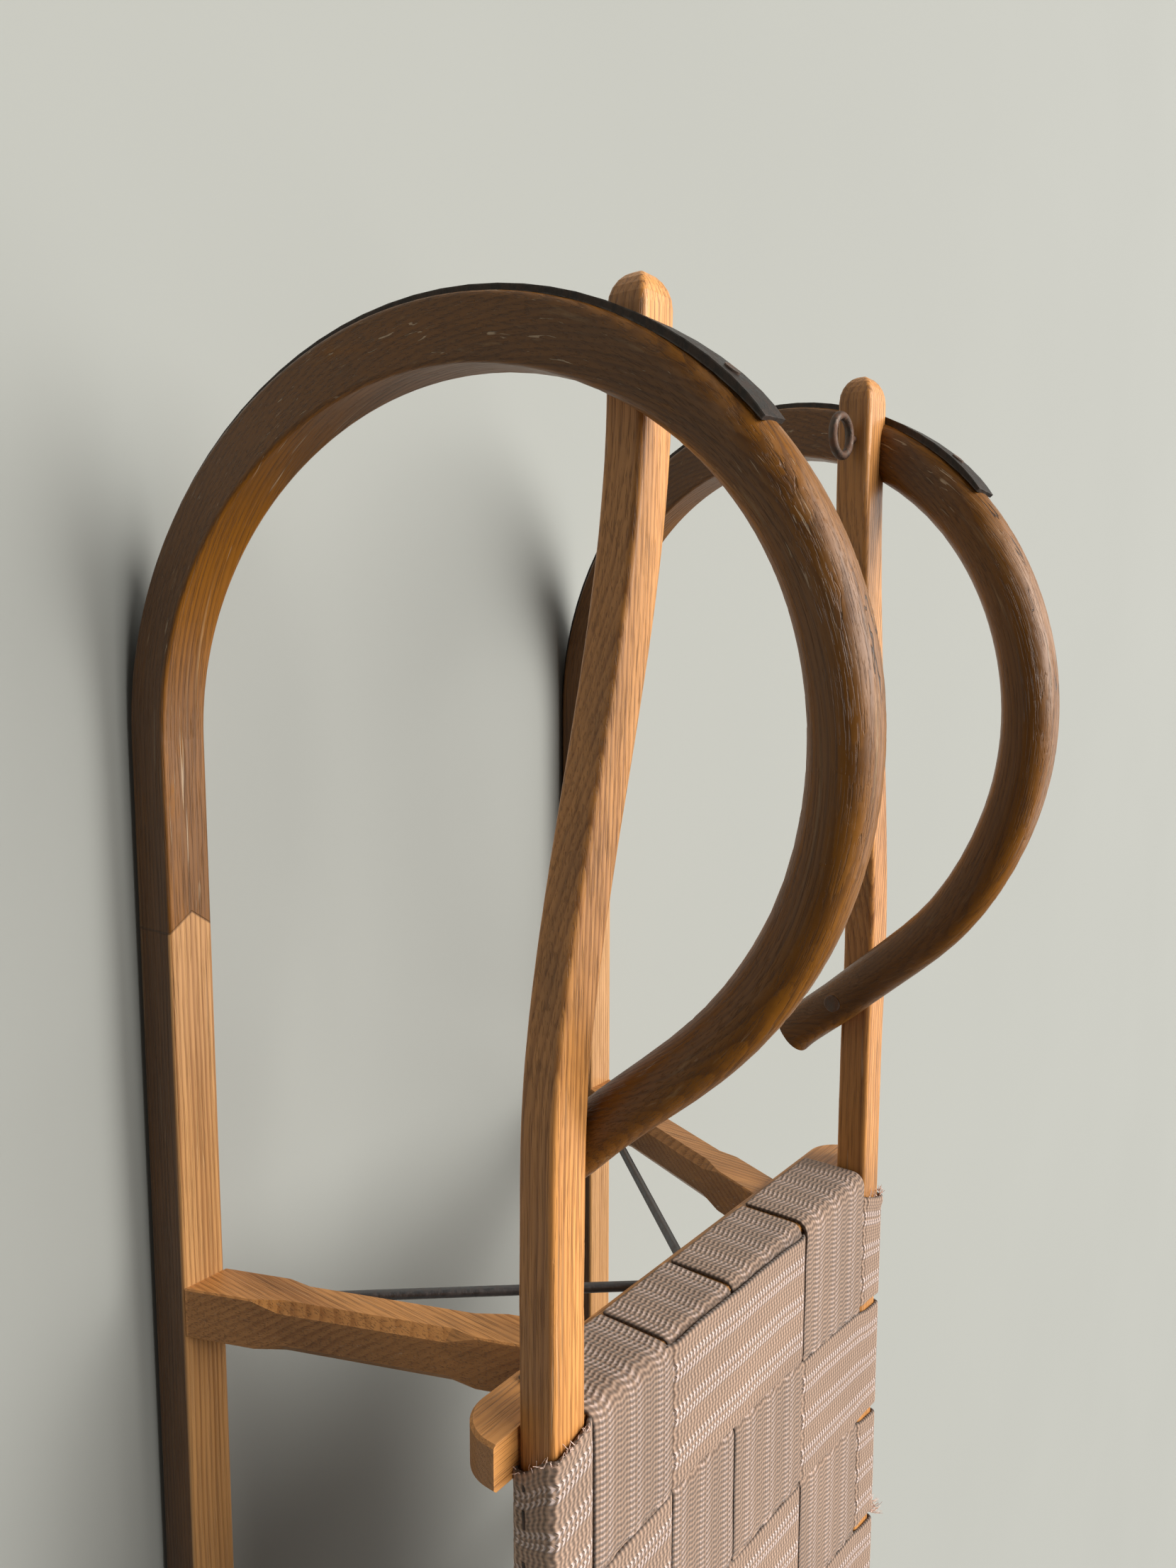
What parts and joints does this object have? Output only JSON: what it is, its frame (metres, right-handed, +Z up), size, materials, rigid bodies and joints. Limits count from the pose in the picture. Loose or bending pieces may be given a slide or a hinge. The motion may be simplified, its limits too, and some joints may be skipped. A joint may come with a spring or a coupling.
{
  "type": "wooden toboggan",
  "caption": "Bentwood sled: runners that curl up and over to the seat rails, steel shoes, leaning posts, cross beams and a woven webbing seat.",
  "frame": {"origin": "middle of the length and width, on the ground under the runners", "axes": "+X forward towards the curled noses, +Y to the left, +Z up"},
  "size_m": [1.22, 0.375, 0.3728],
  "materials": {
    "varnished_wood": "worn honey varnish over straight-grained ash",
    "dark_steel": "dark worn mild steel strip",
    "rod_steel": "dull grey steel rod",
    "dull_steel": "rust-tinged steel fasteners",
    "jute_webbing": "ribbed twill jute webbing"
  },
  "bodies": {
    "root": {"beam_front": "varnished_wood", "beam_middle": "varnished_wood", "beam_rear": "varnished_wood", "brace_rod_front_left": "rod_steel", "brace_rod_front_right": "rod_steel", "brace_rod_rear_left": "rod_steel", "brace_rod_rear_right": "rod_steel", "curl_screws": "dull_steel", "post_front_left": "varnished_wood", "post_front_right": "varnished_wood", "post_middle_left": "varnished_wood", "post_middle_right": "varnished_wood", "post_rear_left": "varnished_wood", "post_rear_right": "varnished_wood", "rail_left": "varnished_wood", "rail_right": "varnished_wood", "runner_left": "varnished_wood", "runner_right": "varnished_wood", "screw_eye_left": "dull_steel", "screw_eye_right": "dull_steel", "shoe_left": "dark_steel", "shoe_right": "dark_steel", "shoe_screws": "dark_steel", "web_row_1": "jute_webbing", "web_row_2": "jute_webbing", "web_row_3": "jute_webbing", "web_row_4": "jute_webbing", "web_row_5": "jute_webbing", "web_row_6": "jute_webbing", "web_row_7": "jute_webbing", "web_row_8": "jute_webbing", "web_strip_1": "jute_webbing", "web_strip_2": "jute_webbing", "web_strip_3": "jute_webbing", "web_strip_4": "jute_webbing", "web_tacks": "dull_steel"}
  },
  "joints": []
}
